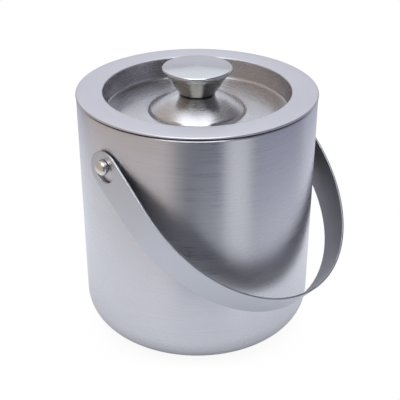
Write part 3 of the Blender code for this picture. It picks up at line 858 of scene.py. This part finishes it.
CAMERA_PLACE = (-0.3597, -0.3554, 0.3511)
CAMERA_FORWARD = (0.6276, 0.6167, -0.4752)
CAMERA_ROLL = 0.0022
CAMERA_LENS = 80.62
CAMERA_SENSOR = 36.0
CAMERA_SHIFT = 0.0018


def studio_axes(paint, coords):
    """A place or direction in the model's axes, turned to the studio's x (right), y (back) and z."""
    values = {"Vector": coords, "Rotation": (0, 0, VIEW_TURN)}
    return paint.axes(paint.node("Mapping", values, vector_type="VECTOR").outputs[0])


def studio_world():
    """The surroundings that the metal mirrors. The camera sees plain white in their place.

    The front is dark, the left warm, the right cool and the backdrop pale. One broad soft box lies over
    the back and overhead, and a small one stands high in front.
    """
    world = bpy.data.worlds.new("studio")
    bpy.context.scene.world = world
    paint = Paint(world)
    paint.tree.nodes.clear()
    x, y, z = studio_axes(paint, paint.node("TexCoord").outputs["Generated"])
    azimuth = paint.maths("DEGREES", paint.maths("ARCTAN2", x, paint.maths("MULTIPLY", y, -1.0)))
    elevation = paint.maths("DEGREES", paint.maths("ARCSINE", z))

    def rising(value, low, high):
        return paint.ranged(value, low, high, 0.0, 1.0, smooth=True)

    def falling(value, low, high):
        return paint.ranged(value, low, high, 1.0, 0.0, smooth=True)

    def span(value, low, high, soft):
        """1 between low and high, with soft ends, in degrees."""
        rise, fall = rising(value, low - soft, low + soft), falling(value, high - soft, high + soft)
        return paint.maths("MULTIPLY", rise, fall)

    colour = FRONT
    for low, high, soft, tone in WALLS:
        colour = paint.mixed(span(azimuth, low, high, soft), colour, tone)
    # A lit card lies low on the right, and the backdrop is lighter above the horizon.
    card = paint.maths("MULTIPLY", span(azimuth, 26, 52, 7), falling(elevation, -6.0, 4.0))
    colour = paint.mixed(card, colour, CARD)
    at_back = rising(paint.maths("ABSOLUTE", azimuth), 120.0, 140.0)
    lifted = paint.maths("MULTIPLY", at_back, rising(elevation, 2.0, 9.0))
    colour = paint.mixed(lifted, colour, HIGH_BACKDROP)
    # Above head height the room is dark, but less so on the left, where the warm wall goes on up.
    ceiling = paint.mixed(falling(x, -0.55, -0.20), DARK_CEILING, WARM_CEILING)
    above = paint.ranged(elevation, 16.0, 34.0, 0.0, 0.85, smooth=True)
    colour = paint.mixed(above, colour, ceiling)
    # The broad soft box runs from low over the back to past the zenith, where it is brightest.
    off_centre = paint.maths("ABSOLUTE", paint.maths("ADD", x, 0.03))
    length = paint.maths("MULTIPLY", rising(y, -0.50, -0.34), rising(elevation, 22.2, 23.4))
    box = paint.maths("MULTIPLY", falling(off_centre, 0.34, 0.40), length)
    glow = paint.mixed(paint.ranged(elevation, 23.0, 31.0, 0.0, 1.0), BOX_LOW, BOX_MIDDLE)
    glow = paint.mixed(rising(elevation, 45.0, 66.0), glow, BOX_OVERHEAD)
    colour = paint.mixed(box, colour, glow)
    # The small box draws the bright lines on rounded edges.
    front_box = paint.maths("MULTIPLY", span(azimuth, -42, 36, 6), span(elevation, 40, 60, 3))
    colour = paint.mixed(front_box, colour, FRONT_BOX)
    mirrored = paint.node("Background", {"Color": colour, "Strength": 1.0})
    backdrop = paint.node("Background", {"Color": (*WHITE, 1.0), "Strength": 1.0})
    seen = paint.node("LightPath").outputs["Is Camera Ray"]
    mix = paint.node("MixShader", {0: seen, 1: mirrored.outputs[0], 2: backdrop.outputs[0]})
    paint.node("OutputWorld", {"Surface": mix.outputs[0]})


def studio_floor():
    """A pale floor with a soft contact shadow. In reflections, a pool of light lies round the bucket."""
    shape = bmesh.new()
    bmesh.ops.create_circle(shape, cap_ends=True, segments=64, radius=FLOOR_RADIUS)
    mesh = bpy.data.meshes.new("studio_floor")
    shape.to_mesh(mesh)
    shape.free()
    floor = bpy.data.objects.new("studio_floor", mesh)
    floor.location.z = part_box("outer_shell")[0].z - FLOOR_GAP
    bpy.context.scene.collection.objects.link(floor)
    paint = Paint(bpy.data.materials.new("studio_floor"))
    paint.tree.nodes.clear()
    x, y, _ = studio_axes(paint, paint.object_place())

    def length(along_x, along_y):
        flat = paint.combined(along_x, along_y, 0.0)
        return paint.node("VectorMath", {0: flat}, operation="LENGTH").outputs["Value"]

    # the pool's centre is behind the bucket, so that the front falls off first
    pool = length(paint.maths("ADD", x, 0.025), paint.maths("SUBTRACT", y, 0.06))
    pool = paint.ranged(pool, 0.17, 0.42, 1.0, 0.0, smooth=True)
    # the camera stand keeps some light off the floor in front
    stand = paint.maths("MULTIPLY", paint.maths("ADD", y, 0.265), 1.3)
    stand = length(paint.maths("ADD", x, 0.05), stand)
    pool = paint.maths("MULTIPLY", pool, paint.ranged(stand, 0.03, 0.11, 0.15, 1.0, smooth=True))
    shade = paint.node("AmbientOcclusion", {"Distance": 0.06}, samples=4).outputs["AO"]
    seen = paint.node("LightPath").outputs["Is Camera Ray"]
    mirrored = paint.mixed(paint.ranged(shade, 0.12, 0.88, 0.12, 1.0), BLACK, MIRRORED_FLOOR)
    direct = paint.mixed(paint.ranged(shade, 0.10, 0.50, 0.91, 1.0, smooth=True), BLACK, WHITE)
    bright = paint.node("Emission", {"Color": paint.mixed(seen, mirrored, direct), "Strength": 1.0})
    clear = paint.node("BsdfTransparent")
    lit = paint.node("MixShader", {0: pool, 1: clear.outputs[0], 2: bright.outputs[0]})
    view = paint.node("MixShader", {0: seen, 1: lit.outputs[0], 2: bright.outputs[0]})
    paint.node("OutputMaterial", {"Surface": view.outputs[0]})
    mesh.materials.append(paint.owner)


def camera():
    data = bpy.data.cameras.new("camera")
    data.lens, data.sensor_width, data.shift_x = CAMERA_LENS, CAMERA_SENSOR, CAMERA_SHIFT
    data.clip_start = 0.01
    made = bpy.data.objects.new("camera", data)
    bpy.context.scene.collection.objects.link(made)
    made.location = CAMERA_PLACE
    made.rotation_mode = "QUATERNION"
    roll = Matrix.Rotation(CAMERA_ROLL, 3, "Z").to_quaternion()
    made.rotation_quaternion = Vector(CAMERA_FORWARD).to_track_quat("-Z", "Y") @ roll
    bpy.context.scene.camera = made


studio_world()
studio_floor()
camera()
bpy.context.scene.view_settings.view_transform = "Standard"

bpy.context.view_layer.update()
